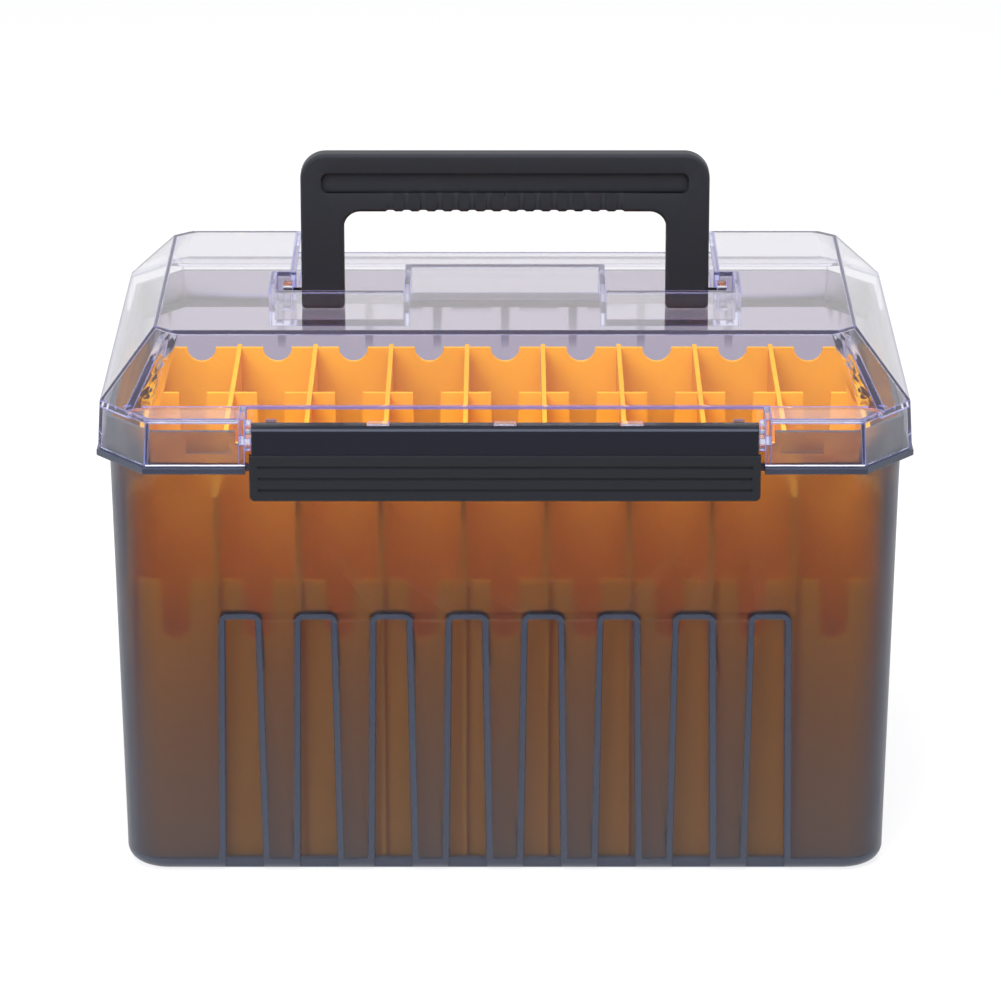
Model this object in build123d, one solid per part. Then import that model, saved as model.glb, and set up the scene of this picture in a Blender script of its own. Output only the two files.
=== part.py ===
"""Tackle box: smoke-grey tub, clear hip-roofed lid, full-width front latch,
fold-down handle and a lift-out rack of interlocking plates.

Frame: origin under the middle of the box, +Z up, the latch side faces -Y.
All sizes are in millimetres.
"""
import math
import os

from build123d import *

# Tub
flange_width = 310.0
flange_depth = 220.0
flange_corner_x = 19.0
flange_corner_y = 23.0
flange_height = 165.0
flange_thickness = 2.6
flange_overhang = 5.0
flange_edge = 0.6
wall = 2.2
floor_thickness = 2.5
draft_inset = 3.2
tub_corner_radius = 20.0
tub_bottom_radius = 6.0
tub_inner_radius = 3.0
rim_height = 15.5
rim_notch_drop = 5.2
rim_notch_gap = 1.5

# Pressed panels in the front and rear walls
panel_count = 8
panel_end_land = 29.2
panel_top_width = 12.0
panel_bottom_width = 15.2
panel_height = 104.9
panel_depth = 2.6
panel_corner = 1.5

# Front catch and corner snap wedges
catch_end_gap = 4.0
catch_front_gap = 2.6
catch_drop = 1.7
catch_height = 2.8
catch_chamfer = 1.2
wedge_end_gap = 3.8
wedge_length = 16.0
wedge_front_gap = 0.8
wedge_height = 5.5
wedge_lip = 0.8
wedge_below_rim = 2.4

# Rear hinge
hinge_behind_flange = 0.3
hinge_below_flange = 0.5
barrel_wall = 1.9
hinge_pin_radius = 1.25
running_gap = 0.05
hinge_lug_places = (-93.0, -56.6, -28.2, 0.0, 28.2, 56.6, 93.0)
hinge_lug_width = 3.0
hinge_lug_drop = 17.0
knuckle_length = 16.0
knuckle_end_gap = 0.6
knuckle_back_gap = 0.5
hinge_pin_end = 1.5

# Lid
lid_seat_gap = 0.3
lid_side_gap = 0.6
skirt_height = 18.6
skirt_draft = 1.0
lid_wall = 2.2
ridge_height = 22.0
ridge_inset_x = 21.0
ridge_inset_front = 43.0
ridge_inset_rear = 39.0
ridge_corner_x = 7.0
ridge_corner_y = 6.0
ledge_front = 16.6
ledge_rear = 13.6
ledge_corner = 22.0
roof_turn_x = 10.45
roof_turn_y = 10.35
slope_inset = 3.0
long_edge = 0.8
ledge_edge = 0.6
corner_land = 57.4
shelf_gap = 0.5
shelf_thickness = 2.2
shelf_setback = 3.8
bay_rib_gap = 0.9
slit_end_gap = 9.3
slit_length = 3.6
slit_height = 0.9
slit_above_shelf = 2.4

# Handle recess in the lid
recess_front = 13.7
recess_depth = 13.4
island_half = 39.5
island_rear = 22.5
pocket_rear = 12.0
pocket_end_gap = 2.6
ear_thickness = 4.0
ear_rim = 2.85

# Handle
handle_half = 80.0
handle_pivot_y = 3.5
handle_side_gap = 2.5
handle_ear_gap = 0.9
handle_foot_gap = 0.3
handle_foot_drop = 7.5
handle_rise = 56.8
handle_thickness = 8.0
handle_leg = 16.9
handle_grip = 23.4
handle_outer_radius = 10.0
handle_inner_radius = 6.5
handle_foot_corner = 1.9
handle_edge = 1.6
handle_pin_radius = 1.6
grip_panel_margin = 8.2
grip_panel_height = 8.0
grip_panel_drop = 7.6
grip_panel_sink = 1.2
grip_panel_corner = 2.5
grip_notch_count = 15
grip_notch_pitch = 6.4
grip_notch_mouth = 4.2
grip_notch_width = 2.4
grip_notch_depth = 0.9
grip_flute_radius = 3.0
grip_flute_depth = 0.4

# Latch
latch_end_gap = 1.8
latch_upper_step = 0.9
latch_pivot_setback = 2.2
latch_shelf_gap = 0.4
latch_knuckle_wall = 2.15
latch_lug_step = 0.3
latch_pin_radius = 1.0
latch_pin_end_gap = 0.5
latch_hole_wall = 0.4
latch_plate = 1.8
latch_grip_height = 17.9
latch_grip_proud = 0.7
latch_below_catch = 7.7
latch_bevel = 1.8
latch_edge = 0.8
latch_grip_edge = 0.6
latch_groove_count = 3
latch_groove_pitch = 4.5
latch_groove_depth = 0.7
latch_groove_width = 1.5
latch_groove_margin = 3.2
latch_bottom_radius = 2.0
latch_lug_places = (-47.5, 0.0, 47.5)
lug_pocket_depth = 0.1
latch_lug_width = 8.0
latch_lug_top = 3.0
latch_lug_length = 9.0
latch_side_gap = 0.3
hook_height = 2.4
hook_clear = 0.3
hook_end_gap = 11.8
bay_ear_proud = 0.2
bay_ear_drop = 6.8
bay_ear_length = 4.0

# Rack
columns = 9
rows = 3
rack_side_gap = 3.3
rack_end_gap = 0.6
plate = 1.8
rack_overhang = 4.4
rack_below_flange = 13.0
front_plate_drop = 35.3
plate_fit = 0.1
rack_wall_gap = 0.5
tab_height = 34.0
tab_reach = 2.9
slot_top_width = 11.4
slot_bottom_width = 10.2
slot_depth = 24.0
notch_radius = 6.0
end_plate_foot = 0.9

# How far cutting and joining forms run past the surfaces they meet, and the
# slack with which an edge is found by its place
over = 1.0
lap = 0.5
hair = 0.01

# Worked out from the driving dimensions
half_width = flange_width / 2
half_depth = flange_depth / 2
tub_half_x = half_width - flange_overhang
tub_half_y = half_depth - flange_overhang
flange_top = flange_height + flange_thickness
rim_top = flange_height + rim_height
front_rim_top = rim_top - rim_notch_drop
draft_angle = math.atan2(draft_inset, flange_height)
panel_span = 2 * (tub_half_x - tub_corner_radius - panel_end_land)
panel_pitch = panel_span / (panel_count - 1)
hinge_y = half_depth + hinge_behind_flange
hinge_z = flange_height - hinge_below_flange
barrel_radius = hinge_pin_radius + running_gap + barrel_wall
skirt_bottom = flange_top + lid_seat_gap
skirt_top = skirt_bottom + skirt_height
ridge_top = skirt_top + ridge_height
ridge_half_x = half_width - ridge_inset_x
ridge_front = half_depth - ridge_inset_front
ridge_rear = half_depth - ridge_inset_rear
roof_foot_front = half_depth - ledge_front
roof_foot_rear = half_depth - ledge_rear
shelf_bottom = front_rim_top + shelf_gap
shelf_top = shelf_bottom + shelf_thickness
shelf_front = half_depth - shelf_setback
latch_bay_half = half_width - corner_land
bay_wall = latch_bay_half + lid_wall
recess_floor = ridge_top - recess_depth
recess_half = handle_half + handle_side_gap
handle_stub_end = recess_half + handle_ear_gap + ear_thickness
pocket_half = handle_stub_end + pocket_end_gap
ear_radius = handle_pin_radius + running_gap + ear_rim
handle_pivot_z = recess_floor + handle_foot_drop + handle_foot_gap
latch_half = latch_bay_half - latch_end_gap
latch_upper_half = latch_half - latch_upper_step
latch_knuckle_radius = latch_pin_radius + running_gap + latch_knuckle_wall
latch_lug_radius = latch_knuckle_radius - latch_lug_step
latch_pivot_y = half_depth - latch_pivot_setback
latch_pivot_z = shelf_top + latch_knuckle_radius + latch_shelf_gap
latch_back = latch_pivot_y + latch_knuckle_radius
latch_front = latch_back + latch_plate
hook_half = latch_half - hook_end_gap
catch_half = hook_half + catch_end_gap
catch_front = latch_back - catch_front_gap
catch_top = flange_height - catch_drop
catch_bottom = catch_top - catch_height
latch_bottom = catch_top - latch_below_catch
latch_grip_top = latch_bottom + latch_grip_height
lug_half = latch_lug_width / 2
wedge_inner = bay_wall + wedge_end_gap
wedge_front = half_depth - lid_side_gap - lid_wall - wedge_front_gap
rack_top = flange_height - rack_below_flange
front_plate_top = rack_top - front_plate_drop
rack_half_x = tub_half_x - draft_inset - wall - rack_side_gap
rack_half_y = tub_half_y - draft_inset - wall - panel_depth - rack_end_gap
cell_pitch = 2 * rack_half_x / columns
row_pitch = 2 * (rack_half_y - rack_overhang) / rows
plate_rows = [(row - rows / 2) * row_pitch for row in range(rows + 1)]
divider_places = [(step - columns / 2) * cell_pitch for step in range(1, columns)]
slot_places = [(step - (columns - 1) / 2) * cell_pitch for step in range(columns)]


def ring(half_x, front, rear, cut_x, cut_y):
    """Corners of a rectangle with cut corners, front towards -Y."""
    return [
        (half_x - cut_x, -front), (half_x, -front + cut_y),
        (half_x, rear - cut_y), (half_x - cut_x, rear),
        (-half_x + cut_x, rear), (-half_x, rear - cut_y),
        (-half_x, -front + cut_y), (-half_x + cut_x, -front),
    ]


def inset_cut(cut_x, cut_y, inset):
    """Corner cut of a ring after all its sides have moved inwards by inset."""
    slope = math.hypot(cut_x, cut_y)
    new_x = cut_x - inset * (1 - (slope - cut_x) / cut_y)
    new_y = cut_y - inset * (1 - (slope - cut_y) / cut_x)
    return new_x, new_y


def face_at(points, z):
    """Flat polygon through plan points at one height."""
    return Face(Wire.make_polygon([(x, y, z) for x, y in points], close=True))


def prism(points, low, high):
    """Upright prism over a plan outline."""
    return extrude(face_at(points, low), amount=high - low, dir=(0, 0, 1))


def between(low_points, low, high_points, high):
    """Straight-sided solid between two plan outlines of equal corner count."""
    return loft([face_at(low_points, low), face_at(high_points, high)], ruled=True)


def block(x0, x1, y0, y1, z0, z1):
    """Box given by its two corners."""
    middle = ((x0 + x1) / 2, (y0 + y1) / 2, (z0 + z1) / 2)
    return Pos(*middle) * Box(abs(x1 - x0), abs(y1 - y0), abs(z1 - z0))


def rod_x(x0, x1, y, z, radius):
    """Round rod along X."""
    return Pos((x0 + x1) / 2, y, z) * Rot(0, 90, 0) * Cylinder(radius, abs(x1 - x0))


def side_profile(points, x0, x1):
    """Solid with a profile in the Y-Z plane, running along X."""
    outline = Face(Wire.make_polygon([(x0, y, z) for y, z in points], close=True))
    return extrude(outline, amount=x1 - x0, dir=(1, 0, 0))


def tub_block(inset, low, high):
    """Drafted tub shape between two heights, moved inwards by inset."""
    inwards = inset + draft_inset * (1 - high / flange_height)
    outline = RectangleRounded(
        2 * (tub_half_x - inwards), 2 * (tub_half_y - inwards), tub_corner_radius - inwards
    )
    return extrude(
        Pos(0, 0, high) * outline, amount=high - low, dir=(0, 0, -1),
        taper=math.degrees(draft_angle),
    )


def rim_ring(inset):
    """Outline of the rim, whose cut corners follow those of the flange and the lid."""
    cut = inset_cut(flange_corner_x, flange_corner_y, flange_overhang + inset)
    return ring(tub_half_x - inset, tub_half_y - inset, tub_half_y - inset, *cut)


def panel_blank(place, grow, depth):
    """Tapered panel lying in the drafted front wall, open at the bottom."""
    normal = Vector(0, -math.cos(draft_angle), -math.sin(draft_angle))
    wall_plane = Plane(
        origin=(place, -(tub_half_y - draft_inset), 0), x_dir=(1, 0, 0), z_dir=normal
    )
    low = panel_bottom_width / 2 + grow
    high = panel_top_width / 2 + grow
    top = panel_height / math.cos(draft_angle) + grow
    outline = Polygon(
        (-low, -tub_bottom_radius), (low, -tub_bottom_radius), (high, top), (-high, top),
        align=None,
    )
    top_corners = outline.vertices().sort_by(Axis.Y)[-2:]
    outline = fillet(top_corners, panel_corner + grow)
    outside = tub_bottom_radius
    flat = Plane(wall_plane.origin + normal * outside, x_dir=(1, 0, 0), z_dir=normal)
    return extrude(flat * outline, amount=-(depth + outside))


def panels(grow, depth):
    """All panels of the front wall and their mirror images in the rear wall."""
    places = [(step - (panel_count - 1) / 2) * panel_pitch for step in range(panel_count)]
    front = [panel_blank(place, grow, depth) for place in places]
    return front + [mirror(blank, about=Plane.XZ) for blank in front]


def tub_void(inset, base, radius, top):
    """Space inside the tub, or a smaller copy of it for the rack to fit."""
    void = tub_block(inset, base, top)
    void = fillet(void.edges().group_by(Axis.Z)[0], radius)
    return void - panels(inset, panel_depth + inset)


def hinge_lug(place):
    """Web under the rear flange that carries one eye of the lid hinge."""
    root = tub_half_y - wall / 2
    foot = flange_height - hinge_lug_drop
    web = side_profile(
        [
            (root, foot), (tub_half_y, foot), (hinge_y + barrel_radius, hinge_z),
            (hinge_y, hinge_z + barrel_radius), (root, hinge_z + barrel_radius),
        ],
        place - hinge_lug_width / 2, place + hinge_lug_width / 2,
    )
    eye = rod_x(
        place - hinge_lug_width / 2, place + hinge_lug_width / 2,
        hinge_y, hinge_z, barrel_radius,
    )
    return web + eye


def knuckle_spans():
    """X spans of the lid's hinge knuckles, centred between the tub's webs."""
    pairs = zip(hinge_lug_places, hinge_lug_places[1:])
    middles = [(left + right) / 2 for left, right in pairs]
    return [(x - knuckle_length / 2, x + knuckle_length / 2) for x in middles]


def make_box_body():
    """Smoke-grey tub with flange, rim, pressed panels, catch and hinge webs."""
    shell = tub_block(0, 0, flange_height)
    shell = fillet(shell.edges().group_by(Axis.Z)[0], tub_bottom_radius)
    shell -= panels(0, panel_depth)
    shell += prism(rim_ring(0), flange_height, rim_top)
    flange = ring(half_width, half_depth, half_depth, flange_corner_x, flange_corner_y)
    plate_form = prism(flange, flange_height, flange_top)
    shell += fillet(plate_form.edges(), flange_edge)
    shell -= block(
        -latch_bay_half, latch_bay_half, -half_depth - over, -tub_half_y,
        flange_height - over, flange_top + over,
    )
    shell -= tub_void(wall, floor_thickness, tub_inner_radius, flange_height)
    shell -= prism(rim_ring(wall), flange_height - lap, rim_top + over)
    notch_half = bay_wall + rim_notch_gap
    shell -= block(
        -notch_half, notch_half, -half_depth, -tub_half_y + wall + over,
        front_rim_top, rim_top + over,
    )
    root = -tub_half_y + wall / 2
    shell += side_profile(
        [
            (root, catch_top), (-catch_front + catch_chamfer, catch_top),
            (-catch_front, catch_top - catch_chamfer), (-catch_front, catch_bottom),
            (root, catch_bottom),
        ],
        -catch_half, catch_half,
    )
    wedge_top = rim_top - wedge_below_rim
    wedge_bottom = wedge_top - wedge_height
    for side in (-1, 1):
        start = side * wedge_inner
        shell += side_profile(
            [
                (root, wedge_top), (-tub_half_y, wedge_top),
                (-wedge_front, wedge_bottom + wedge_lip), (-wedge_front, wedge_bottom),
                (root, wedge_bottom),
            ],
            start, start + side * wedge_length,
        )
    for left, right in knuckle_spans():
        start = left - knuckle_end_gap
        end = right + knuckle_end_gap
        reach = barrel_radius + knuckle_back_gap
        shell -= rod_x(start, end, hinge_y, hinge_z, reach)
        shell -= block(start, end, hinge_y - reach, half_depth + over,
                       flange_height - over, flange_top + over)
    for place in hinge_lug_places:
        shell += hinge_lug(place)
    eye = hinge_pin_radius + running_gap
    shell -= rod_x(-half_width, half_width, hinge_y, hinge_z, eye)
    return shell


def roof_ring(height, inset):
    """Outline of the lid's hip roof at a height, moved inwards by inset."""
    rise = (height - skirt_top) / ridge_height
    skirt_x = half_width - lid_side_gap - skirt_draft
    skirt_y = half_depth - lid_side_gap - skirt_draft

    def corner(ridge, foot):
        low = [
            (half_width - ledge_corner, foot), (skirt_x - roof_turn_x, skirt_y - roof_turn_y),
            (skirt_x, skirt_y - flange_corner_y),
        ]
        high = [
            (ridge_half_x - ridge_corner_x, ridge),
            (ridge_half_x - ridge_corner_x / 2, ridge - ridge_corner_y / 2),
            (ridge_half_x, ridge - ridge_corner_y),
        ]
        return [
            (a + (c - a) * rise - inset, b + (d - b) * rise - inset)
            for (a, b), (c, d) in zip(low, high)
        ]

    front = corner(ridge_front, roof_foot_front)
    rear = corner(ridge_rear, roof_foot_rear)
    right = [(x, -y) for x, y in front] + [(x, y) for x, y in reversed(rear)]
    return right + [(-x, y) for x, y in reversed(right)]


def recess_outline(grow, rear):
    """Plan of the handle recess: pockets at the pivots and an island in the middle."""
    side = recess_half + grow
    pocket = pocket_half + grow
    front = -recess_front - grow
    island = island_half - grow
    return [
        (pocket, front), (pocket, pocket_rear + grow), (side, pocket_rear + grow),
        (side, rear), (-side, rear), (-side, pocket_rear + grow),
        (-pocket, pocket_rear + grow), (-pocket, front), (-island, front),
        (-island, island_rear - grow), (island, island_rear - grow), (island, front),
    ]


def lid_knuckle(left, right):
    """One hinge knuckle hanging under the lid's rear skirt."""
    skirt_y = half_depth - lid_side_gap
    web = block(left, right, skirt_y - lid_wall, skirt_y, hinge_z, skirt_bottom + over)
    return web + rod_x(left, right, hinge_y, hinge_z, barrel_radius)


def latch_ear(side):
    """Ear at one end of the latch bay that holds the end of the latch pin."""
    inner = side * (latch_upper_half + latch_side_gap)
    nose = latch_back + bay_ear_proud
    back = latch_pivot_y - bay_ear_length
    low = latch_pivot_z - bay_ear_drop
    high = latch_pivot_z + latch_knuckle_radius
    return side_profile(
        [
            (-shelf_front, low), (-nose, low), (-nose, high), (-back, high), (-back, shelf_top),
            (-shelf_front, shelf_top),
        ],
        inner, side * latch_bay_half,
    )


def latch_lug(place):
    """Lug on the lid's front shelf that carries the latch pin."""
    foot = shelf_top - lap
    high = latch_pivot_z + latch_lug_radius
    gusset = side_profile(
        [
            (-shelf_front, foot), (-latch_pivot_y, high), (-latch_pivot_y + latch_lug_top, high),
            (-latch_pivot_y + latch_lug_length, foot),
        ],
        place - lug_half, place + lug_half,
    )
    eye = rod_x(place - lug_half, place + lug_half, -latch_pivot_y, latch_pivot_z,
                latch_lug_radius)
    return gusset + eye


def handle_ear(side):
    """Ear standing in a pivot pocket, with the hole for the handle's stub."""
    inner = side * (handle_stub_end - ear_thickness)
    outer = side * handle_stub_end
    upright = block(
        inner, outer, handle_pivot_y - ear_radius, handle_pivot_y + ear_radius,
        recess_floor - lap, handle_pivot_z,
    )
    return upright + rod_x(inner, outer, handle_pivot_y, handle_pivot_z, ear_radius)


def edges_between(solid, low, high, shortest=0.0):
    """Edges of a solid that lie between two heights and are longer than a given length."""
    kept = []
    for edge in solid.edges():
        box = edge.bounding_box()
        if box.min.Z > low - hair and box.max.Z < high + hair and edge.length > shortest:
            kept.append(edge)
    return kept


def lid_block():
    """The lid's outer form with its long edges rounded: chamfered skirt and hip roof."""
    skirt_x = half_width - lid_side_gap
    skirt_y = half_depth - lid_side_gap
    low = ring(skirt_x, skirt_y, skirt_y, flange_corner_x, flange_corner_y)
    high = ring(skirt_x - skirt_draft, skirt_y - skirt_draft, skirt_y - skirt_draft,
                flange_corner_x, flange_corner_y)
    form = between(low, skirt_bottom, high, skirt_top)
    form += between(roof_ring(skirt_top, 0), skirt_top, roof_ring(ridge_top, 0), ridge_top)
    form = fillet(edges_between(form, skirt_top, skirt_top, 2 * flange_corner_y), ledge_edge)
    skirt = edges_between(form, skirt_bottom, skirt_top - ledge_edge / 2)
    return fillet(skirt + edges_between(form, ridge_top, ridge_top), long_edge)


def make_lid():
    """Clear lid: skirt with cut corners, hip roof, latch bay and handle recess."""
    skirt_x = half_width - lid_side_gap
    skirt_y = half_depth - lid_side_gap
    outside = lid_block()
    outside -= prism(recess_outline(0, half_depth), recess_floor, ridge_top + over)
    outside -= block(-latch_bay_half, latch_bay_half, -half_depth - over, -roof_foot_front,
                     shelf_top, ridge_top)
    outside -= block(-latch_bay_half, latch_bay_half, -half_depth - over, -shelf_front,
                     skirt_bottom - over, ridge_top)

    inner_x = skirt_x - lid_wall
    inner_y = skirt_y - lid_wall
    cut = inset_cut(flange_corner_x, flange_corner_y, lid_wall)
    inner_low = ring(inner_x, inner_y, inner_y, *cut)
    ceiling = skirt_top - lid_wall
    inner_high = ring(inner_x - skirt_draft, inner_y - skirt_draft, inner_y - skirt_draft, *cut)
    inside = between(inner_low, skirt_bottom - lap, inner_high, ceiling)
    inside += between(roof_ring(ceiling - lap, slope_inset), ceiling - lap,
                      roof_ring(ridge_top - lid_wall, slope_inset), ridge_top - lid_wall)
    inside -= prism(recess_outline(lid_wall, half_depth), recess_floor - lid_wall, ridge_top)
    inside -= block(-bay_wall, bay_wall, -half_depth, -roof_foot_front + lid_wall,
                    shelf_bottom, ridge_top)
    for side in (-1, 1):
        inside -= block(side * latch_bay_half, side * bay_wall, -half_depth,
                        -tub_half_y - bay_rib_gap, skirt_bottom - over, shelf_bottom)

    lid = outside - inside
    for left, right in knuckle_spans():
        lid += lid_knuckle(left, right)
    for side in (-1, 1):
        lid += latch_ear(side)
        lid += handle_ear(side)
    for place in latch_lug_places:
        lid += latch_lug(place)
    lid -= rod_x(-half_width, half_width, hinge_y, hinge_z, hinge_pin_radius + running_gap)
    latch_hole = latch_bay_half - latch_hole_wall
    lid -= rod_x(-latch_hole, latch_hole, -latch_pivot_y, latch_pivot_z,
                 latch_pin_radius + running_gap)
    slit_outer = latch_bay_half - slit_end_gap + slit_length / 2
    slit_low = shelf_top + slit_above_shelf - slit_height / 2
    for side in (-1, 1):
        lid -= rod_x(side * recess_half, side * (handle_stub_end + over), handle_pivot_y,
                     handle_pivot_z, handle_pin_radius + running_gap)
        lid -= block(side * slit_outer, side * (slit_outer - slit_length),
                     -roof_foot_front - over, -roof_foot_front + lid_wall + over,
                     slit_low, slit_low + slit_height)
    return lid


def make_handle():
    """Fold-down handle: two legs, a finger-notched grip and two stub pivots."""
    low = handle_pivot_z - handle_foot_drop
    high = handle_pivot_z + handle_rise
    height = high - low
    outline = Pos(0, (low + high) / 2) * Rectangle(2 * handle_half, height)
    corners = outline.vertices().sort_by(Axis.Y)
    outline = fillet(corners[-2:], handle_outer_radius)
    window_half = handle_half - handle_leg
    window_top = high - handle_grip
    sill = low - handle_inner_radius
    window = Pos(0, (sill + window_top) / 2) * Rectangle(2 * window_half, window_top - sill)
    window = fillet(window.vertices().sort_by(Axis.Y)[-2:], handle_inner_radius)
    outline -= window
    feet = outline.vertices().group_by(Axis.Y)[0]
    outline = fillet(feet, handle_foot_corner)
    front = handle_pivot_y - handle_thickness / 2
    face = Plane((0, front, 0), x_dir=(1, 0, 0), z_dir=(0, -1, 0))
    body = extrude(face * outline, amount=-handle_thickness)
    sides = body.faces().sort_by(Axis.Y)
    body = fillet(sides[0].edges() + sides[-1].edges(), handle_edge)
    half_thickness = handle_thickness / 2
    across = handle_half + over
    rear_foot = block(-across, across, handle_pivot_y, handle_pivot_y + handle_thickness,
                      low - over, low + half_thickness)
    heel = rod_x(-across, across, handle_pivot_y, low + half_thickness, half_thickness)
    body -= rear_foot - heel

    panel_low = high - grip_panel_drop - grip_panel_height
    panel = Pos(0, panel_low + grip_panel_height / 2) * RectangleRounded(
        2 * (handle_half - grip_panel_margin), grip_panel_height, grip_panel_corner
    )
    for level in (front, front + handle_thickness - grip_panel_sink):
        sunk = Plane((0, level, 0), x_dir=(1, 0, 0), z_dir=(0, -1, 0))
        body -= extrude(sunk * panel, amount=-grip_panel_sink)

    flute_length = panel_low - window_top
    flute_reach = half_thickness + grip_flute_radius - grip_flute_depth
    for step in range(grip_notch_count):
        place = (step - (grip_notch_count - 1) / 2) * grip_notch_pitch
        notch = Polygon(
            (place - grip_notch_mouth / 2, window_top), (place + grip_notch_mouth / 2, window_top),
            (place + grip_notch_width / 2, window_top + grip_notch_depth),
            (place - grip_notch_width / 2, window_top + grip_notch_depth),
            align=None,
        )
        body -= extrude(face * notch, amount=-handle_thickness)
        for side in (-1, 1):
            middle = Pos(place, handle_pivot_y + side * flute_reach, window_top + flute_length / 2)
            body -= middle * Cylinder(grip_flute_radius, flute_length)

    for side in (-1, 1):
        body += rod_x(side * (handle_half - over), side * handle_stub_end, handle_pivot_y,
                      handle_pivot_z, handle_pin_radius)
    return body


def make_latch():
    """Full-width latch: smooth upper band, grooved grip, knuckles and snap hook."""
    top = latch_pivot_z + latch_knuckle_radius
    upper = side_profile(
        [
            (-latch_back, latch_grip_top), (-latch_front, latch_grip_top),
            (-latch_front, top - latch_bevel), (-latch_front + latch_bevel, top),
            (-latch_pivot_y, top), (-latch_pivot_y, latch_pivot_z), (-latch_back, latch_pivot_z),
        ],
        -latch_upper_half, latch_upper_half,
    )
    front_edges = [
        edge for edge in edges_between(upper, latch_grip_top, top)
        if edge.bounding_box().min.Y < -latch_front + hair
        and edge.bounding_box().max.Z > latch_grip_top + over
    ]
    upper = fillet(front_edges, latch_edge)
    upper += rod_x(-latch_upper_half, latch_upper_half, -latch_pivot_y, latch_pivot_z,
                   latch_knuckle_radius)
    for place in latch_lug_places:
        gap = lug_half + latch_side_gap
        upper -= block(place - gap, place + gap, -latch_back - lug_pocket_depth,
                       -latch_pivot_y + latch_knuckle_radius + over,
                       latch_grip_top - over, top + over)

    grip_front = latch_front + latch_grip_proud
    grip_outline = Pos(0, (latch_bottom + latch_grip_top) / 2) * Rectangle(
        2 * latch_half, latch_grip_height
    )
    lower_corners = grip_outline.vertices().group_by(Axis.Y)[0]
    grip_outline = fillet(lower_corners, latch_bottom_radius)
    face = Plane((0, -grip_front, 0), x_dir=(1, 0, 0), z_dir=(0, -1, 0))
    grip = extrude(face * grip_outline, amount=-(grip_front - latch_back))
    grip = fillet(grip.faces().sort_by(Axis.Y)[0].edges(), latch_grip_edge)
    reach = latch_half - latch_groove_margin
    for step in range(latch_groove_count):
        middle = latch_grip_top - (step + 1) * latch_groove_pitch
        grip -= side_profile(
            [
                (-grip_front, middle - latch_groove_width / 2),
                (-grip_front + latch_groove_depth, middle),
                (-grip_front, middle + latch_groove_width / 2),
            ],
            -reach, reach,
        )

    hook_nose = catch_front + hook_clear
    hook_top = catch_bottom - hook_clear
    hook = side_profile(
        [
            (-latch_back - lap, hook_top), (-hook_nose, hook_top),
            (-hook_nose, hook_top - hook_height / 2), (-latch_back - lap, hook_top - hook_height),
        ],
        -hook_half, hook_half,
    )
    latch = upper + grip + hook
    latch -= rod_x(-half_width, half_width, -latch_pivot_y, latch_pivot_z,
                   latch_pin_radius + running_gap)
    return latch


def pin(reach, y, z, radius):
    """Straight wire pin along X with chamfered ends."""
    wire = rod_x(-reach, reach, y, z, radius)
    return chamfer(wire.edges().filter_by(GeomType.CIRCLE), radius / 4)


def slot_outline(x, top):
    """Round-bottomed slot, a little wider at its mouth."""
    centre = top - slot_depth + slot_bottom_width / 2
    flank = Polygon(
        (x - slot_bottom_width / 2, centre), (x + slot_bottom_width / 2, centre),
        (x + slot_top_width / 2, top), (x - slot_top_width / 2, top),
        align=None,
    )
    return flank + Pos(x, centre) * Circle(slot_bottom_width / 2)


def lap_height(top):
    """Height at which a long plate and the cross plates meet in their halving joints."""
    return floor_thickness + (top - floor_thickness) / 2


def make_long_plate(y, top, notched):
    """Plate along the box, cut for the cross plates, slotted or notched on top."""
    body_half = rack_half_x - plate_fit
    tab_half = rack_half_x + plate + tab_reach
    outline = Pos(0, (floor_thickness + top) / 2) * Rectangle(
        2 * body_half, top - floor_thickness
    )
    outline += Pos(0, top - tab_height / 2) * Rectangle(2 * tab_half, tab_height)
    for x in slot_places:
        if notched:
            outline -= Pos(x, top) * Circle(notch_radius)
        else:
            outline -= slot_outline(x, top)
    cut_low = lap_height(top)
    cut_high = top + over
    for x in divider_places:
        outline -= Pos(x, (cut_low + cut_high) / 2) * Rectangle(
            plate + 2 * plate_fit, cut_high - cut_low
        )
    face = Plane((0, y - plate / 2, 0), x_dir=(1, 0, 0), z_dir=(0, -1, 0))
    return extrude(face * outline, amount=-plate)


def make_cross_plate(x, tops, end_plate):
    """Plate across the box; an end plate takes the long plates' tabs from above."""
    foot = floor_thickness + (end_plate_foot if end_plate else 0)
    sheet = block(x - plate / 2, x + plate / 2, -rack_half_y, rack_half_y, foot, rack_top)
    half_cut = plate / 2 + plate_fit
    for y, top in zip(plate_rows, tops):
        if end_plate:
            low = top - tab_height - plate_fit
            high = rack_top + over
        else:
            low = floor_thickness - over
            high = lap_height(top) + plate_fit
        sheet -= block(x - plate, x + plate, y - half_cut, y + half_cut, low, high)
    return sheet


def make_rack():
    """All plates of the lift-out rack, trimmed to the inside of the tub."""
    room = tub_void(wall + rack_wall_gap, floor_thickness, tub_inner_radius, flange_height)
    tops = [front_plate_top] + [rack_top] * rows
    names = ["rack_front_plate", "rack_middle_plate_front", "rack_middle_plate_rear",
             "rack_rear_plate"]
    plates = {}
    for name, y, top in zip(names, plate_rows, tops):
        plates[name] = make_long_plate(y, top, name == "rack_rear_plate") & room
    end_x = rack_half_x + plate / 2
    plates["rack_end_plate_left"] = make_cross_plate(-end_x, tops, True) & room
    plates["rack_end_plate_right"] = make_cross_plate(end_x, tops, True) & room
    for number, x in enumerate(divider_places, start=1):
        plates[f"rack_divider_{number}"] = make_cross_plate(x, tops, False) & room
    return plates


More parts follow.
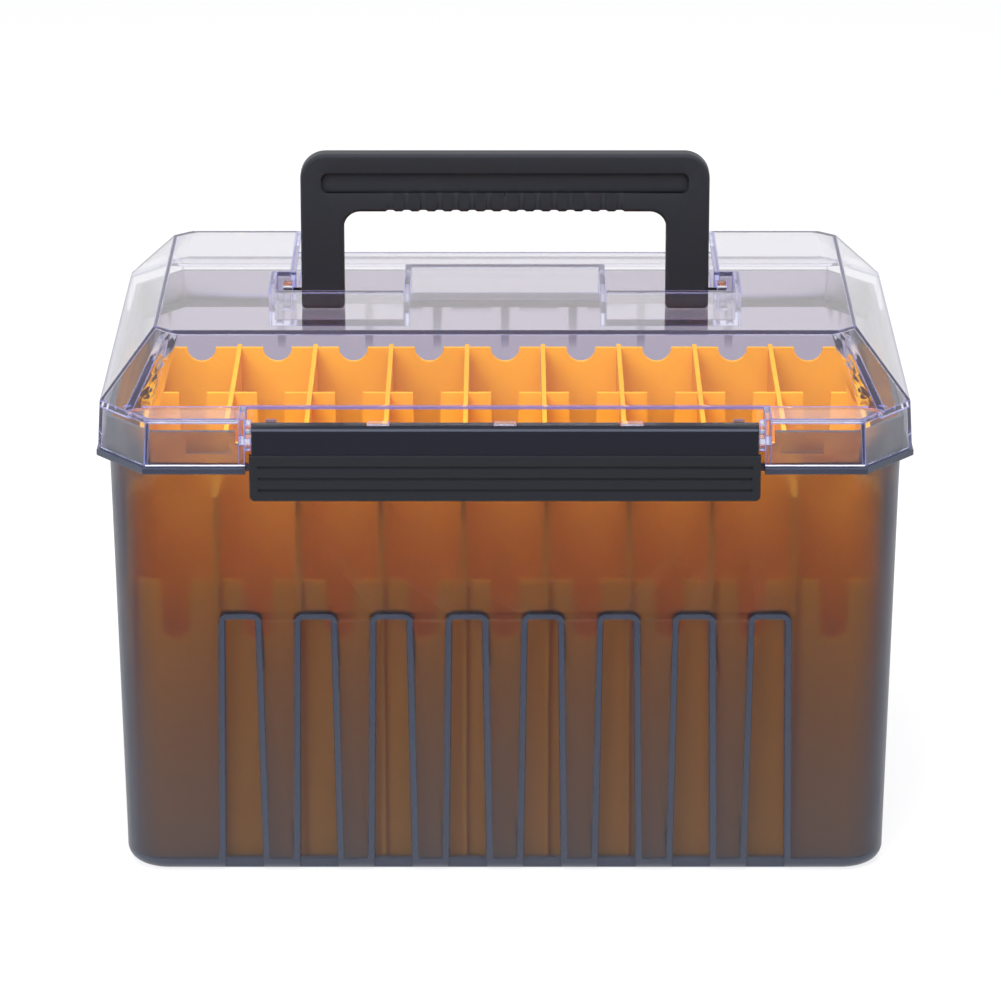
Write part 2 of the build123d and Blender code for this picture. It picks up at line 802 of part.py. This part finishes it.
def write_parts():
    """Build every piece and write one STEP file for each."""
    os.makedirs("parts", exist_ok=True)
    hinge_reach = hinge_lug_places[-1] + hinge_lug_width / 2 + hinge_pin_end
    pieces = {
        "box_body": make_box_body(),
        "lid": make_lid(),
        "handle": make_handle(),
        "latch": make_latch(),
        "hinge_pin": pin(hinge_reach, hinge_y, hinge_z, hinge_pin_radius),
        "latch_pin": pin(latch_bay_half - latch_pin_end_gap, -latch_pivot_y, latch_pivot_z,
                         latch_pin_radius),
    }
    pieces.update(make_rack())
    for name, piece in pieces.items():
        export_step(piece, f"parts/{name}.step")
        print(name, round(piece.volume, 1))


write_parts()
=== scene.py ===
import math

import bpy
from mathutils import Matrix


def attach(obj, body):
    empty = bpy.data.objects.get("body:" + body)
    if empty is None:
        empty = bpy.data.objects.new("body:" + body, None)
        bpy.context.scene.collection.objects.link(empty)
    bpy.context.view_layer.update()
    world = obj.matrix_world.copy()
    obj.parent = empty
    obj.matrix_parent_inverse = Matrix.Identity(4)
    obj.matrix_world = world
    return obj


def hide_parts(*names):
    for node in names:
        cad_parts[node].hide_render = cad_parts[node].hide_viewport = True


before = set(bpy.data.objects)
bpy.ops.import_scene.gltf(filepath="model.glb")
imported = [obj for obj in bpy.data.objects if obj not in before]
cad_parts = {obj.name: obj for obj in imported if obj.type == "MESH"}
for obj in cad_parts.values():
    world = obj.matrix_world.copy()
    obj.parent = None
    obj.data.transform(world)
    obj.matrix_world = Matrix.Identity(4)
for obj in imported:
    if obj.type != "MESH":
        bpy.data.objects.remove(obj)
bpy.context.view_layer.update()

bpy.ops.object.select_all(action="DESELECT")


# Studio. The box was photographed on a white table in front of a white wall, from
# the front and 19 degrees above it, with a long lens about 1.9 m away. The light
# is soft and comes from large white panels over and in front of the table.
lens_mm = 179.65
sensor_mm = 36.0
camera_place = (0.0, -1.88468, 0.76593)
camera_pitch = math.radians(71.0)
middle_offset = -0.0045
camera = bpy.data.objects.new("camera", bpy.data.cameras.new("camera"))
camera.data.lens = lens_mm
camera.data.sensor_width = sensor_mm
camera.data.shift_x = middle_offset
camera.location = camera_place
camera.rotation_euler = (camera_pitch, 0.0, 0.0)
bpy.context.scene.collection.objects.link(camera)
bpy.context.scene.camera = camera
bpy.context.scene.view_settings.view_transform = "Standard"

# Light crosses many plastic walls on its way through the closed box.
walls_crossed = 24
clear_walls_crossed = 48
bpy.context.scene.cycles.max_bounces = walls_crossed
bpy.context.scene.cycles.transmission_bounces = walls_crossed
bpy.context.scene.cycles.transparent_max_bounces = clear_walls_crossed


class Value:
    """One output of a material node. Sums and products of values add Math nodes."""

    def __init__(self, finish, output):
        self.finish = finish
        self.output = output

    def math(self, operation, first, second):
        sockets = {0: first, 1: second}
        return self.finish.node("Math", {"operation": operation}, sockets)

    def __add__(self, other):
        return self.math("ADD", self, other)

    def __sub__(self, other):
        return self.math("SUBTRACT", self, other)

    def __mul__(self, other):
        return self.math("MULTIPLY", self, other)

    def __truediv__(self, other):
        return self.math("DIVIDE", self, other)

    def __radd__(self, other):
        return self.math("ADD", other, self)

    def __rsub__(self, other):
        return self.math("SUBTRACT", other, self)

    def __rmul__(self, other):
        return self.math("MULTIPLY", other, self)


class Finish:
    """A material, built from nodes and named for what it covers."""

    def __init__(self, name):
        self.material = bpy.data.materials.new(name)
        self.material.use_nodes = True
        self.material.node_tree.nodes.clear()

    def node(self, kind, settings, sockets, output=0):
        """Add a node with its settings, then fill or link its sockets. Returns one output."""
        made = self.material.node_tree.nodes.new("ShaderNode" + kind)
        for name, setting in settings.items():
            if name == "stops":
                ramp = made.color_ramp
                while len(ramp.elements) < len(setting):
                    ramp.elements.new(1.0)
                for stop, (place, colour_with_painted_light) in zip(ramp.elements, setting):
                    stop.position = place
                    stop.color = colour_with_painted_light
            else:
                setattr(made, name, setting)
        for name, given in sockets.items():
            if isinstance(given, Value):
                self.material.node_tree.links.new(given.output, made.inputs[name])
            else:
                made.inputs[name].default_value = given
        return Value(self, made.outputs[output])

    def show(self, shader, volume=None):
        sockets = {"Surface": shader}
        if volume:
            sockets["Volume"] = volume
        made = self.material.node_tree.nodes.new("ShaderNodeOutputMaterial")
        for name, given in sockets.items():
            self.material.node_tree.links.new(given.output, made.inputs[name])

    def cover(self, piece):
        piece.data.materials.clear()
        piece.data.materials.append(self.material)


# The table top lies a hair under the tub, so that their two faces don't coincide.
table_width = 12.0
table_drop = 0.0003
bpy.ops.mesh.primitive_plane_add(size=table_width, location=(0.0, 0.0, -table_drop))
floor = bpy.context.object
floor.name = "floor"
bpy.ops.object.mode_set(mode="EDIT")
bpy.ops.mesh.subdivide(number_cuts=8)
bpy.ops.object.mode_set(mode="OBJECT")

# The table glows white where it is seen straight on or through plastic, and takes the
# shadow of the box. In mirror images its front part is dim, as the studio is there.
white_seen = 0.8
white_in_plastic = 0.95
dim_from = -0.10
dim_fully = -0.35
table = Finish("white_table")
seen = table.node("LightPath", {}, {}, "Is Camera Ray")
mirrored = table.node("LightPath", {}, {}, "Is Glossy Ray")
through = table.node("LightPath", {}, {}, "Is Transmission Ray")
paper = table.node("BsdfDiffuse", {}, {"Color": (0.85, 0.85, 0.86, 1.0)})
glow = table.node("Emission", {}, {"Color": (1.0, 1.0, 1.0, 1.0), "Strength": 1.0})
dim = table.node("Emission", {}, {"Color": (0.20, 0.20, 0.24, 1.0), "Strength": 1.0})
plain = seen * white_seen + (through + mirrored) * white_in_plastic
bright = table.node("MixShader", {}, {0: plain, 1: paper, 2: glow})
place = table.node("TexCoord", {}, {}, "Object")
depth = table.node("SeparateXYZ", {}, {0: place}, "Y")
in_front = table.node("MapRange", {}, {0: depth, 1: dim_from, 2: dim_fully, 3: 0.0, 4: 1.0})
only_mirrored = mirrored * (1 - through)
table.show(table.node("MixShader", {}, {0: only_mirrored * in_front, 1: bright, 2: dim}))
table.cover(floor)

# The room is white, but dim towards the front above the camera. Seen through plastic it
# is white all round.
white = (1.0, 1.0, 1.0, 1.0)
dark_side = (0.0, -0.66, 0.75)
dark_colour = (0.15, 0.15, 0.30, 1.0)
dark_starts = 0.20
dark_fully = 0.72
world = bpy.data.worlds.new("white_room")
bpy.context.scene.world = world
world.use_nodes = True
room = world.node_tree.nodes["Background"]
room.inputs["Strength"].default_value = 1.0
ways = world.node_tree.nodes.new("ShaderNodeTexCoord")
towards = world.node_tree.nodes.new("ShaderNodeVectorMath")
towards.operation = "DOT_PRODUCT"
towards.inputs[1].default_value = dark_side
world.node_tree.links.new(ways.outputs["Generated"], towards.inputs[0])
wall_light = world.node_tree.nodes.new("ShaderNodeValToRGB")
wall_light.color_ramp.interpolation = "EASE"
wall_light.color_ramp.elements[0].position = dark_starts
wall_light.color_ramp.elements[0].color = white
wall_light.color_ramp.elements[1].position = dark_fully
wall_light.color_ramp.elements[1].color = dark_colour
world.node_tree.links.new(towards.outputs["Value"], wall_light.inputs["Fac"])
rays = world.node_tree.nodes.new("ShaderNodeLightPath")
wall_seen = world.node_tree.nodes.new("ShaderNodeMixRGB")
wall_seen.inputs["Color2"].default_value = white
world.node_tree.links.new(rays.outputs["Is Transmission Ray"], wall_seen.inputs["Fac"])
world.node_tree.links.new(wall_light.outputs["Color"], wall_seen.inputs["Color1"])
world.node_tree.links.new(wall_seen.outputs["Color"], room.inputs["Color"])


def lamp(name, place, aim, width, height, watts):
    """A soft rectangular panel that lights the box and doesn't show in its reflections."""
    light = bpy.data.lights.new(name, "AREA")
    light.shape = "RECTANGLE"
    light.size = width
    light.size_y = height
    light.energy = watts
    holder = bpy.data.objects.new(name, light)
    bpy.context.scene.collection.objects.link(holder)
    holder.location = place
    reach = [aim[i] - place[i] for i in range(3)]
    level = math.hypot(reach[0], reach[1])
    turn = math.atan2(reach[0], -reach[1])
    tilt = math.atan2(level, -reach[2])
    holder.rotation_euler = (tilt, 0.0, turn + math.pi)
    holder.visible_glossy = False
    holder.visible_transmission = False


lamp("top_panel", place=(0.0, -0.5, 1.7), aim=(0.0, 0.0, 0.1), width=1.6, height=1.2, watts=58.0)
lamp("front_panel", place=(-0.7, -1.7, 1.3), aim=(0.0, 0.0, 0.12), width=0.9, height=0.9, watts=34.0)


# Tub. One deep moulding in smoke-grey see-through plastic with a satin outside. Where
# the wall is seen edge-on, at the round corners, panel edges, flange and foot, it
# looks slate. It stands free on its flat underside.
tub_finish = Finish("smoke_plastic")
grain = tub_finish.node("TexNoise", {}, {"Scale": 900.0, "Detail": 2.0})
ripple = tub_finish.node("Bump", {}, {"Strength": 0.04, "Distance": 0.0004, "Height": grain})
haze = tub_finish.node("BsdfPrincipled", {}, {
    "Base Color": (0.028, 0.034, 0.052, 1.0), "Roughness": 0.35, "Normal": ripple,
})
window = tub_finish.node("BsdfPrincipled", {}, {
    "Base Color": (0.82, 0.76, 0.86, 1.0), "Roughness": 0.28, "IOR": 1.45,
    "Transmission Weight": 1.0, "Normal": ripple,
})

# Eight panels are pressed into the front wall, and eight into the rear wall. They get
# wider towards the floor. Outside is the distance from a panel's rounded outline.
panel_pitch = 0.0288
panel_top = 0.1049
panel_half_width = 0.006
panel_widening = 0.0144
panel_corner = 0.0015
row_end = 4 * panel_pitch
wall_depth = 0.096
where = tub_finish.node("TexCoord", {}, {}, "Object")
across = tub_finish.node("SeparateXYZ", {}, {0: where}, "X")
depth = tub_finish.node("SeparateXYZ", {}, {0: where}, "Y")
height = tub_finish.node("SeparateXYZ", {}, {0: where}, "Z")
off_middle = across.math("ABSOLUTE", across, 0.0)
off_centre = depth.math("ABSOLUTE", depth, 0.0)
pitches = off_middle / panel_pitch
off_panel = pitches.math("MODULO", pitches, 1.0) - 0.5
off_panel = off_panel.math("ABSOLUTE", off_panel, 0.0) * panel_pitch
half_width = panel_half_width + (panel_top - height) * panel_widening
past_side = off_panel - half_width + panel_corner
past_side = past_side.math("MAXIMUM", past_side, 0.0)
past_top = height - panel_top + panel_corner
past_top = past_top.math("MAXIMUM", past_top, 0.0)
outside = past_side * past_side + past_top * past_top
outside = outside.math("SQRT", outside, 0.0) - panel_corner
in_row = off_middle.math("LESS_THAN", off_middle, row_end)
in_wall = off_centre.math("GREATER_THAN", off_centre, wall_depth)

# The slate line along a panel's edge fades in and out over these distances.
line_start = (-0.0005, 0.0001)
line_end = (0.0018, 0.0025)
started = tub_finish.node("MapRange", {}, {0: outside, 1: line_start[0], 2: line_start[1]})
ended = tub_finish.node("MapRange", {}, {0: outside, 1: line_end[0], 2: line_end[1]})
panel_edge = (started - ended) * in_row * in_wall
in_panel = (1 - started) * in_row

# The foot and the flange are slate too. Towards the floor, the wall outside the panels is mixed darker,
# a painted shade.
foot_heights = (0.0062, 0.0042)
flange_height = 0.1663
flange_half = 0.0014
shade_below = 0.12
shade_share = 0.28
facing = tub_finish.node("LayerWeight", {}, {"Blend": 0.32}, "Facing")
foot = tub_finish.node("MapRange", {}, {0: height, 1: foot_heights[0], 2: foot_heights[1]})
flange = tub_finish.node("Math", {"operation": "COMPARE"}, {
    0: height, 1: flange_height, 2: flange_half,
})
painted_floor_shade = tub_finish.node("MapRange", {}, {
    0: height, 1: shade_below, 2: 0.0, 3: 0.0, 4: shade_share,
})
haze_and_painted_shade = facing * 1.1 + 0.02 + painted_floor_shade * (1 - in_panel)
haze_and_painted_shade = haze_and_painted_shade + panel_edge * 0.85 + foot * 0.85 + flange * 0.8
wall = tub_finish.node("MixShader", {}, {0: haze_and_painted_shade, 1: window, 2: haze})

# Lamp light passes straight through the wall, and the plastic itself darkens all light.
lamp_ray = tub_finish.node("LightPath", {}, {}, "Is Shadow Ray")
open_air = tub_finish.node("BsdfTransparent", {}, {"Color": (0.95, 0.95, 0.97, 1.0)})
smoke = tub_finish.node("VolumeAbsorption", {}, {
    "Color": (0.60, 0.60, 0.68, 1.0), "Density": 580.0,
})
lit_wall = tub_finish.node("MixShader", {}, {0: lamp_ray, 1: wall, 2: open_air})
tub_finish.show(lit_wall, smoke)


def smooth_copy(node, angle):
    """A joined-up copy of a frame piece, so that its round stretches shade smoothly."""
    same_point = 0.000001
    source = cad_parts[node]
    piece = bpy.data.objects.new(node + "_finished", source.data.copy())
    bpy.context.scene.collection.objects.link(piece)
    bpy.ops.object.select_all(action="DESELECT")
    bpy.context.view_layer.objects.active = piece
    piece.select_set(True)
    bpy.ops.object.mode_set(mode="EDIT")
    bpy.ops.mesh.select_all(action="SELECT")
    bpy.ops.mesh.remove_doubles(threshold=same_point)
    bpy.ops.object.mode_set(mode="OBJECT")
    bpy.ops.object.shade_smooth_by_angle(angle=math.radians(angle))
    bpy.ops.object.modifier_add(type="WEIGHTED_NORMAL")
    piece.modifiers[-1].keep_sharp = True
    piece.modifiers[-1].weight = 100
    bpy.ops.object.modifier_apply(modifier=piece.modifiers[-1].name)
    piece.select_set(False)
    return piece


tub = smooth_copy("box_body", 30.0)
tub_finish.cover(tub)
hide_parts("box_body")
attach(tub, "box")


# Lid. One clear, polished moulding that hinges on the tub's rear edge. Its creases
# pick up a blue-violet tint, because the light in them has gone a long way through
# the plastic.
edge_colour = (0.16, 0.16, 0.38, 1.0)
lid_finish = Finish("clear_plastic")
rounded = lid_finish.node("Bevel", {"samples": 6}, {"Radius": 0.0008})
glass = lid_finish.node("BsdfPrincipled", {}, {
    "Base Color": (0.995, 0.995, 1.0, 1.0), "Roughness": 0.0, "IOR": 1.49,
    "Transmission Weight": 1.0, "Normal": rounded,
})
milk_share = 0.022
milk = lid_finish.node("BsdfTranslucent", {}, {"Color": (0.72, 0.72, 1.0, 1.0)})
pale = lid_finish.node("MixShader", {}, {0: milk_share, 1: glass, 2: milk})
edge_light = lid_finish.node("BsdfPrincipled", {}, {"Base Color": edge_colour, "Roughness": 0.15})

# A crease is where the rounded surface turns away from the flat face that it is part of.
hardly_turned = 0.995
well_turned = 0.93
crease_share = 0.85
straight = lid_finish.node("NewGeometry", {}, {}, "Normal")
same = lid_finish.node("VectorMath", {"operation": "DOT_PRODUCT"}, {0: rounded, 1: straight}, "Value")
crease = lid_finish.node("MapRange", {}, {
    0: same, 1: hardly_turned, 2: well_turned, 3: 0.0, 4: crease_share,
})

# The top edge of the latch's bay has a broader violet line than the other creases.
bay_wall_depth = -0.0934
bay_edge_height = 0.1860
bay_edge_share = 0.75
where = lid_finish.node("TexCoord", {}, {}, "Object")
depth = lid_finish.node("SeparateXYZ", {}, {0: where}, "Y")
height = lid_finish.node("SeparateXYZ", {}, {0: where}, "Z")
bay_wall = lid_finish.node("Math", {"operation": "COMPARE"}, {0: depth, 1: bay_wall_depth, 2: 0.0004})
bay_edge = lid_finish.node("Math", {"operation": "COMPARE"}, {0: height, 1: bay_edge_height, 2: 0.0006})
crease = crease.math("MAXIMUM", crease, bay_wall * bay_edge * bay_edge_share)
clear = lid_finish.node("MixShader", {}, {0: crease, 1: pale, 2: edge_light})
lamp_ray = lid_finish.node("LightPath", {}, {}, "Is Shadow Ray")
open_air = lid_finish.node("BsdfTransparent", {}, {"Color": (0.95, 0.95, 0.97, 1.0)})
tint = lid_finish.node("VolumeAbsorption", {}, {"Color": (0.55, 0.57, 0.95, 1.0), "Density": 16.0})
lit_lid = lid_finish.node("MixShader", {}, {0: lamp_ray, 1: clear, 2: open_air})
lid_finish.show(lit_lid, tint)
lid = smooth_copy("lid", 0.0)
lid_finish.cover(lid)

# Three finishes for small places: the narrow roundings, a painted highlight along the
# skirt's lower edge, and painted shade in the two slits in the wall behind the latch.
crease_finish = Finish("lid_creases")
inner = crease_finish.node("BsdfPrincipled", {}, {
    "Base Color": (0.80, 0.80, 0.95, 1.0), "Roughness": 0.1, "IOR": 1.49, "Transmission Weight": 1.0,
})
shine = crease_finish.node("BsdfPrincipled", {}, {"Base Color": edge_colour, "Roughness": 0.15})
shine_share = 0.7
crease_finish.show(crease_finish.node("MixShader", {}, {0: shine_share, 1: inner, 2: shine}))
# Painted highlight: the roundings along the skirt's lower edge are pale and opaque.
edge_highlight_finish = Finish("lid_lower_edge_highlight")
edge_highlight_finish.show(edge_highlight_finish.node("BsdfPrincipled", {}, {
    "Base Color": (0.75, 0.75, 0.92, 1.0), "Roughness": 0.15,
}))
# Painted shade: the faces in the slits are near black, for the shade inside them.
slit_shade_finish = Finish("lid_slits_painted_shade")
slit_shade_finish.show(slit_shade_finish.node("BsdfPrincipled", {}, {
    "Base Color": (0.02, 0.018, 0.05, 1.0), "Roughness": 0.5,
}))
lid.data.materials.append(crease_finish.material)
lid.data.materials.append(edge_highlight_finish.material)
lid.data.materials.append(slit_shade_finish.material)

# A narrow rounding is a long face with little area for its length. The slits are told
# by their distance from the middle and their height, on the front half of the lid.
rounding_length = 0.008
rounding_strip = 0.00011
edge_highlight_top = 0.1689
slit_low = (0.0864, 0.1798)
slit_high = (0.0902, 0.1810)
for face in lid.data.polygons:
    corners = [lid.data.vertices[index].co for index in face.vertices]
    longest = max((a - b).length for a, b in zip(corners, corners[1:] + corners[:1]))
    if longest > rounding_length and face.area / longest < rounding_strip:
        face.material_index = 2 if face.center.z < edge_highlight_top else 1
    spot = (abs(face.center.x), face.center.z)
    if all(slit_low[i] < spot[i] < slit_high[i] for i in range(2)) and face.center.y < 0.0:
        face.material_index = 3
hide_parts("lid")
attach(lid, "lid")


# Handle. A charcoal bail moulded in one piece, with a fine matt grain, softly rounded
# edges and a sunk panel over the scalloped grip. Two stub pivots hold it in the lid.
handle_finish = Finish("charcoal_plastic")
grain = handle_finish.node("TexNoise", {}, {"Scale": 1800.0, "Detail": 3.0})
softened = handle_finish.node("Bevel", {"samples": 6}, {"Radius": 0.0006})
ripple = handle_finish.node("Bump", {}, {
    "Strength": 0.12, "Distance": 0.0003, "Height": grain, "Normal": softened,
})
# Painted shade: the colour turns near black where ambient occlusion finds grooves and hollows.
crevice_shade = handle_finish.node("AmbientOcclusion", {"samples": 8}, {"Distance": 0.003}, "AO")
out_of_shade = handle_finish.node("MapRange", {}, {0: crevice_shade, 1: 0.60, 2: 0.95})
colour_with_painted_light = handle_finish.node("ValToRGB", {
    "stops": [(0.0, (0.001, 0.001, 0.001, 1.0)), (1.0, (0.017, 0.018, 0.021, 1.0))],
}, {0: out_of_shade}, "Color")
handle_finish.show(handle_finish.node("BsdfPrincipled", {}, {
    "Base Color": colour_with_painted_light, "Roughness": 0.48 + grain * 0.1,
    "Specular IOR Level": 0.35, "Normal": ripple,
}))
handle = smooth_copy("handle", 30.0)
handle_finish.cover(handle)
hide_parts("handle")
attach(handle, "handle")


# Latch. Blue-black plastic, hung on the front of the lid: a glossy band with a painted
# highlight along its top edge, over a matter grip with painted shade in its grooves.
latch_finish = Finish("black_plastic")
grain = latch_finish.node("TexNoise", {}, {"Scale": 1500.0, "Detail": 3.0})
where = latch_finish.node("TexCoord", {}, {}, "Object")
height = latch_finish.node("SeparateXYZ", {}, {0: where}, "Z")
band_bottom = 0.1735
soft_step = 0.0002
band = latch_finish.node("MapRange", {}, {
    0: height, 1: band_bottom - soft_step, 2: band_bottom + soft_step,
})
# Painted shade: the colour darkens where ambient occlusion finds the grip's grooves.
crevice_shade = latch_finish.node("AmbientOcclusion", {"samples": 8}, {"Distance": 0.0016}, "AO")
out_of_shade = latch_finish.node("MapRange", {}, {0: crevice_shade, 1: 0.55, 2: 0.92, 3: 0.0, 4: 0.6})
tone_with_groove_shade = latch_finish.node("ValToRGB", {
    "stops": [
        (0.0, (0.001, 0.001, 0.001, 1.0)), (0.6, (0.012, 0.013, 0.015, 1.0)),
        (1.0, (0.009, 0.010, 0.014, 1.0)),
    ],
}, {0: out_of_shade + band * 0.4}, "Color")
# Painted highlight: a lighter blue-grey stripe along the top edge, where the rounded edge mirrors light
# from above.
highlight_bottom = (0.1829, 0.1831)
highlight_top = (0.1836, 0.1839)
past_highlight_bottom = latch_finish.node("MapRange", {}, {0: height, 1: highlight_bottom[0], 2: highlight_bottom[1]})
past_highlight_top = latch_finish.node("MapRange", {}, {0: height, 1: highlight_top[0], 2: highlight_top[1]})
colour_with_painted_light = latch_finish.node("MixRGB", {}, {
    "Fac": past_highlight_bottom - past_highlight_top, "Color1": tone_with_groove_shade, "Color2": (0.040, 0.045, 0.058, 1.0),
}, "Color")
softened = latch_finish.node("Bevel", {"samples": 6}, {"Radius": 0.0005})
ripple = latch_finish.node("Bump", {}, {
    "Strength": 0.08, "Distance": 0.0003, "Height": grain * (1 - band), "Normal": softened,
})
latch_finish.show(latch_finish.node("BsdfPrincipled", {}, {
    "Base Color": colour_with_painted_light, "Roughness": 0.40 + grain * 0.12 - band * 0.22,
    "Specular IOR Level": 0.35, "Normal": ripple,
}))
latch = smooth_copy("latch", 30.0)
latch_finish.cover(latch)
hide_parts("latch")
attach(latch, "latch")


# Rack. Orange plates slotted into each other like an egg crate. They are thin enough
# to let some light through, and slightly mottled as recoloured plastic is.
rack_finish = Finish("orange_plastic")
cloud = rack_finish.node("TexNoise", {}, {"Scale": 40.0, "Detail": 2.0})
orange = rack_finish.node("ValToRGB", {
    "stops": [(0.30, (1.0, 0.53, 0.027, 1.0)), (0.70, (1.0, 0.57, 0.033, 1.0))],
}, {0: cloud}, "Color")
grain = rack_finish.node("TexNoise", {}, {"Scale": 1300.0, "Detail": 2.0})
ripple = rack_finish.node("Bump", {}, {"Strength": 0.06, "Distance": 0.0003, "Height": grain})
skin = rack_finish.node("BsdfPrincipled", {}, {
    "Base Color": orange, "Roughness": 0.36 + cloud * 0.12, "Specular IOR Level": 0.25,
    "Normal": ripple,
})
light_through = 0.35
shining_through = rack_finish.node("BsdfTranslucent", {}, {"Color": (1.0, 0.55, 0.03, 1.0)})
rack_finish.show(rack_finish.node("MixShader", {}, {0: light_through, 1: skin, 2: shining_through}))
for name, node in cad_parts.items():
    if name.startswith("rack_"):
        rack_finish.cover(node)


# Pins. Straight drawn wire, pushed through the knuckles of the lid hinge and of the
# latch, with the faint marks that drawing leaves.
pin_finish = Finish("pin_steel")
draw_marks = pin_finish.node("TexNoise", {}, {"Scale": 600.0})
pin_finish.show(pin_finish.node("BsdfPrincipled", {}, {
    "Base Color": (0.6, 0.6, 0.6, 1.0), "Metallic": 1.0, "Roughness": 0.25 + draw_marks * 0.15,
}))
for name in ("hinge_pin", "latch_pin"):
    pin_finish.cover(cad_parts[name])
